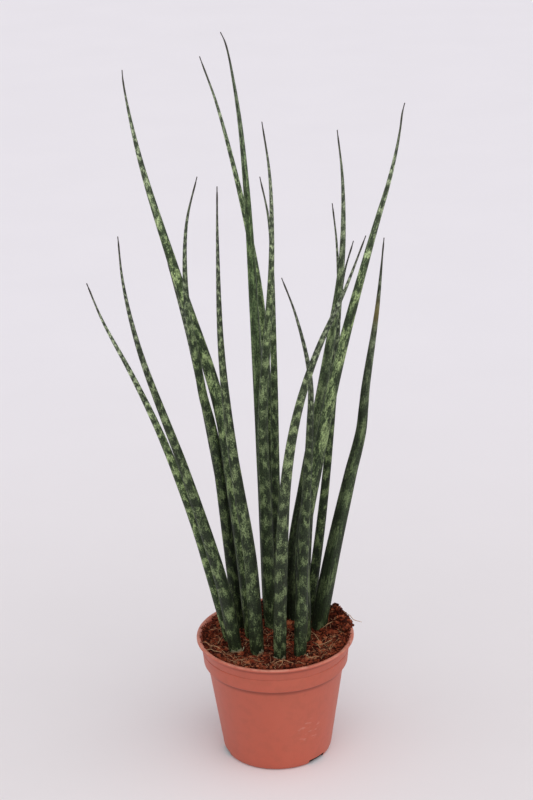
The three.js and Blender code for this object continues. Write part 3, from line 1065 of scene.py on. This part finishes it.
def build_sheaths(material):
    """Thin torn scraps of the dry sheaths that the leaves grew out of, round their feet."""
    draw = random.Random(5)
    body = tinted_body()
    mark = body.verts.layers.float["tint"]
    for name, facings in SHEATHS.items():
        foot = leaf_foot(name)
        for facing in facings:
            made = bmesh.ops.create_grid(body, x_segments=10, y_segments=5, size=0.5)["verts"]
            spread = radians(draw.uniform(*SHEATH_SPREAD))
            height = draw.uniform(*SHEATH_HEIGHT)
            phase = draw.uniform(0, 9)
            for corner in made:
                across, up = corner.co.x, corner.co.y + 0.5
                torn = min(0.45 + 0.75 * abs(noise.noise(Vector((across * 6, phase, 0)))), 1.0)
                angle = radians(facing) + across * spread * (1 - 0.35 * up)
                radius = foot.radius + (0.35 + 1.3 * up * up) * MM
                corner.co = (
                    foot.centre.x + radius * cos(angle),
                    foot.centre.y + radius * sin(angle),
                    (SOIL_LEVEL - SHEATH_SINK + height * up * torn) * MM,
                )
                corner[mark] = 0.9 + 0.4 * up
    bmesh.ops.solidify(body, geom=body.faces[:], thickness=SHEATH_THICKNESS * MM)
    bmesh.ops.recalc_face_normals(body, faces=body.faces)
    finish_piece("dry_sheaths", body, material, "leaf", SHEATH_SHARP)


def soil_material(name, sizes, from_tint):
    """Moist reddish-brown coir, its crumbs from nearly black to rust."""
    material, tree, shader = new_material(name, sizes.earth)
    place = object_place(tree)
    mottle = streaks(place, 260.0, 260.0, 4.0)
    coarse = streaks(place, 900.0, 900.0, 2.0)
    if from_tint:
        share = plus(attribute(tree, "tint", "Fac"), times(plus(coarse, -0.5), 0.5))
    else:
        share = ramp(mottle, 0.38, 0.68, 0.0, 0.6)
    skin = blend(ramp(share, 0.0, 0.45), sizes.wet, sizes.earth)
    relief = plus(mottle, times(coarse, 0.5))
    feed(shader, {
        "Base Color": blend(ramp(share, 0.5, 1.0), skin, sizes.rust),
        "Roughness": ramp(coarse, 0.3, 0.7, 0.7, 0.95),
        "Normal": bump(relief, 0.0012, 0.7),
        "Specular IOR Level": 0.12,
    })
    return material


def fibre_material(sizes):
    """Dry coir fibre, from rust to straw, and the paler husk of the sheaths."""
    material, tree, shader = new_material("coir_fibre", sizes.straw)
    share = attribute(tree, "tint", "Fac")
    grain = streaks(object_place(tree), 700.0, 700.0, 2.0)
    skin = blend(ramp(share, 0.0, 0.75), sizes.rust, sizes.straw)
    skin = blend(ramp(share, 1.0, 1.3, 0.0, 0.9), skin, sizes.husk)
    feed(shader, {
        "Base Color": blend(ramp(grain, 0.4, 0.7, 0.0, 0.3), skin, sizes.wet),
        "Roughness": ramp(grain, 0.3, 0.7, 0.55, 0.8),
        "Normal": bump(grain, 0.0003, 0.4),
    })
    return material


# Stage

def aim_camera(sizes):
    """Puts the camera where the photograph was taken from, for a picture of 533 by 800 pixels."""
    data = bpy.data.cameras.new("camera")
    data.sensor_fit = "VERTICAL"
    data.sensor_height = 36.0
    data.lens = sizes.lens
    data.clip_end = 100.0
    camera = add_object("camera", data)
    bpy.context.scene.camera = camera
    turn = (
        Matrix.Rotation(-sizes.yaw, 4, "Z")
        @ Matrix.Rotation(FULL_TURN / 4 - sizes.pitch, 4, "X")
        @ Matrix.Rotation(sizes.roll, 4, "Z")
    )
    camera.matrix_world = Matrix.Translation(sizes.camera_place) @ turn


def add_sun(name, place, strength, tint):
    """A soft sun that shines from a place at the plant."""
    data = bpy.data.lights.new(name, "SUN")
    data.energy = strength
    data.color = tint
    data.angle = SUN_WIDTH
    light = add_object(name, data)
    light.location = place
    light.rotation_euler = (Vector(LIGHT_TARGET) - Vector(place)).to_track_quat("-Z", "Y").to_euler()


def floor_material(sizes):
    """Plain pale floor, with painted light that makes it a little lighter and cooler towards the back."""
    material, tree, shader = new_material("studio_floor", sizes.floor)
    depth = split(object_place(tree))["Y"]
    # Painted light: the floor grows lighter and cooler towards the back
    skin = blend(ramp(depth, -0.1, 1.1), sizes.floor, sizes.painted_light_floor_back)
    feed(shader, {"Base Color": drifted(tree, skin, 6.0, 0.01), "Roughness": 0.9})
    return material


def build_floor(sizes):
    body = bmesh.new()
    bmesh.ops.create_circle(body, cap_ends=True, segments=96, radius=sizes.floor_radius)
    mesh = as_mesh("floor", body)
    mesh.materials.append(floor_material(sizes))
    add_object("floor", mesh)


def light_world(sizes):
    world = bpy.data.worlds.new("studio")
    world.use_nodes = True
    sky = {"Color": sizes.sky, "Strength": sizes.sky_strength}
    feed(world.node_tree.nodes["Background"], sky)
    bpy.context.scene.world = world


# Settings

def colour_setting(title, words, default):
    return FloatVectorProperty(
        name=title, description=words, default=default, subtype="COLOR", size=3, min=0, max=1
    )


def count_setting(title, words, default, least):
    return IntProperty(name=title, description=words, default=default, min=least)


def length_setting(title, words, default):
    return FloatProperty(name=title, description=words, default=default, unit="LENGTH")


def angle_setting(title, words, degrees):
    return FloatProperty(name=title, description=words, default=radians(degrees), subtype="ANGLE")


class PotSettings(bpy.types.PropertyGroup):
    wall: length_setting("Wall", "Thickness of the moulded wall", 0.0015)
    groove_depth: length_setting("Groove", "Depth of the line round the collar", 0.0004)
    sides: count_setting("Sides", "Steps in one turn of the pot", 144, 24)
    plastic: colour_setting("Plastic", "Colour of the pot", (0.525, 0.107, 0.059))
    faded: colour_setting("Faded", "Colour of the pot where it has faded", (0.555, 0.165, 0.107))


class LeafSettings(bpy.types.PropertyGroup):
    steps: count_setting("Steps", "Rings for each ring of the packed leaf", 5, 1)
    sides: count_setting("Sides", "Sides of a leaf", 32, 8)
    deep: colour_setting("Deep", "Darkest green, low on the leaves", (0.017, 0.026, 0.011))
    dark: colour_setting("Dark", "Green between the bands high on the leaves", (0.046, 0.064, 0.031))
    fresh: colour_setting("Fresh", "Green between the bands of the fresher leaves", (0.038, 0.082, 0.022))
    pale_low: colour_setting("Pale Below", "Colour of the bands low on the leaves", (0.165, 0.218, 0.1))
    pale: colour_setting("Pale", "Colour of the bands high on the leaves", (0.29, 0.365, 0.175))
    lime: colour_setting("Lime", "Colour of the bands on the fresher leaves", (0.25, 0.36, 0.11))


class SoilSettings(bpy.types.PropertyGroup):
    bed_rings: count_setting("Rings", "Rings on top of the soil", 60, 8)
    bed_sides: count_setting("Sides", "Steps in one turn of the soil", 180, 24)
    crumbs: count_setting("Crumbs", "Loose crumbs on the soil", 7400, 0)
    rim_crumbs: count_setting("Rim", "Crumbs inside the lip", 1500, 0)
    spilled: count_setting("Spilled", "Crumbs on the lip", 1500, 0)
    fibres: count_setting("Fibres", "Loose fibres on the soil", 560, 0)
    fibre_rings: count_setting("Fibre Rings", "Rings in one fibre", 8, 3)
    wet: colour_setting("Wet", "Colour of the dampest crumbs", (0.034, 0.0055, 0.0024))
    earth: colour_setting("Earth", "Colour of most of the soil", (0.185, 0.033, 0.013))
    rust: colour_setting("Rust", "Colour of the driest crumbs", (0.42, 0.128, 0.056))
    straw: colour_setting("Straw", "Colour of the pale fibres", (0.54, 0.31, 0.16))
    husk: colour_setting("Husk", "Colour of the driest scraps at the leaves' feet", (0.46, 0.5, 0.33))


class StageSettings(bpy.types.PropertyGroup):
    camera_place: FloatVectorProperty(
        name="Camera", description="Where the camera stands", default=(0, -1.36, 0.812), unit="LENGTH"
    )
    pitch: angle_setting("Pitch", "Camera's slope down", 21.12)
    yaw: angle_setting("Yaw", "Camera's turn to the right", -0.09)
    roll: angle_setting("Roll", "Camera's tilt to its side", -1.45)
    lens: FloatProperty(name="Lens", description="Focal length in millimetres", default=90.0)
    floor_radius: length_setting("Floor", "Radius of the floor", 14.0)
    floor: colour_setting("Floor Colour", "Colour of the floor", (0.85, 0.81, 0.832))
    # Painted light on the floor behind the plant
    painted_light_floor_back: colour_setting("Floor Behind", "Colour of the floor behind the plant", (0.89, 0.86, 0.91))
    sky: colour_setting("Light Colour", "Colour of the light all round", (0.97, 0.97, 1.0))
    sky_strength: FloatProperty(name="Light", description="Strength of the light all round", default=0.5)
    key_strength: FloatProperty(name="Key", description="Strength of the key light", default=1.1)
    fill_strength: FloatProperty(name="Fill", description="Strength of the fill light", default=0.6)


# Operators

class PLANT_OT_finishes(bpy.types.Operator):
    """Make the shader node groups that the materials share"""

    bl_idname = "plant.finishes"
    bl_label = "Make Finishes"

    def execute(self, context):
        make_streaks_group()
        make_drift_group()
        return {"FINISHED"}


class PLANT_OT_pot(bpy.types.Operator):
    """Build the moulded nursery pot"""

    bl_idname = "plant.pot"
    bl_label = "Build Pot"

    def execute(self, context):
        sizes = context.scene.plant_pot
        build_pot(sizes, pot_material(sizes))
        return {"FINISHED"}


class PLANT_OT_soil(bpy.types.Operator):
    """Build the soil with its crumbs, its fibres and the dry scraps round the leaves"""

    bl_idname = "plant.soil"
    bl_label = "Build Soil"

    def execute(self, context):
        sizes = context.scene.plant_soil
        build_bed(sizes, soil_material("coir_bed", sizes, False))
        crumbs = soil_material("coir_crumbs", sizes, True)
        build_crumbs(sizes, crumbs)
        build_spill(sizes, crumbs)
        dry = fibre_material(sizes)
        build_fibres(sizes, dry)
        build_sheaths(dry)
        return {"FINISHED"}


class PLANT_OT_leaves(bpy.types.Operator):
    """Build the seventeen leaves"""

    bl_idname = "plant.leaves"
    bl_label = "Build Leaves"

    def execute(self, context):
        sizes = context.scene.plant_leaf
        material = leaf_material(sizes)
        blank = straight_blank(len(smooth_rings("leaf_01", sizes.steps)), sizes.sides)
        for number, name in enumerate(LOOKS):
            build_leaf(name, number, blank, sizes.steps, material)
        return {"FINISHED"}


class PLANT_OT_stage(bpy.types.Operator):
    """Set the camera, lay the pale floor and set the soft studio light"""

    bl_idname = "plant.stage"
    bl_label = "Set Stage"

    def execute(self, context):
        sizes = context.scene.plant_stage
        context.scene.view_settings.view_transform = "Standard"
        aim_camera(sizes)
        build_floor(sizes)
        light_world(sizes)
        add_sun("key", KEY_PLACE, sizes.key_strength, KEY_COLOUR)
        add_sun("fill", FILL_PLACE, sizes.fill_strength, FILL_COLOUR)
        return {"FINISHED"}


class PLANT_PT_sidebar(bpy.types.Panel):
    """The plant's pieces and their settings"""

    bl_label = "Snake Plant"
    bl_idname = "PLANT_PT_sidebar"
    bl_space_type = "VIEW_3D"
    bl_region_type = "UI"
    bl_category = "Snake Plant"

    def draw(self, context):
        column = self.layout.column(align=True)
        for operator in OPERATORS:
            column.operator(operator.bl_idname)
        for group in SETTINGS.values():
            settings = getattr(context.scene, group)
            for name in settings.__annotations__:
                column.prop(settings, name)


SETTINGS = {
    PotSettings: "plant_pot",
    LeafSettings: "plant_leaf",
    SoilSettings: "plant_soil",
    StageSettings: "plant_stage",
}
OPERATORS = (PLANT_OT_finishes, PLANT_OT_pot, PLANT_OT_soil, PLANT_OT_leaves, PLANT_OT_stage)


def register():
    for group, name in SETTINGS.items():
        bpy.utils.register_class(group)
        setattr(bpy.types.Scene, name, PointerProperty(type=group))
    for operator in OPERATORS:
        bpy.utils.register_class(operator)
    bpy.utils.register_class(PLANT_PT_sidebar)


def unregister():
    bpy.utils.unregister_class(PLANT_PT_sidebar)
    for operator in reversed(OPERATORS):
        bpy.utils.unregister_class(operator)
    for group, name in SETTINGS.items():
        delattr(bpy.types.Scene, name)
        bpy.utils.unregister_class(group)


def main():
    """Builds the plant and its stage."""
    register()
    bpy.ops.plant.finishes()
    bpy.ops.plant.pot()
    bpy.ops.plant.soil()
    bpy.ops.plant.leaves()
    bpy.ops.plant.stage()


if __name__ == "__main__":
    main()
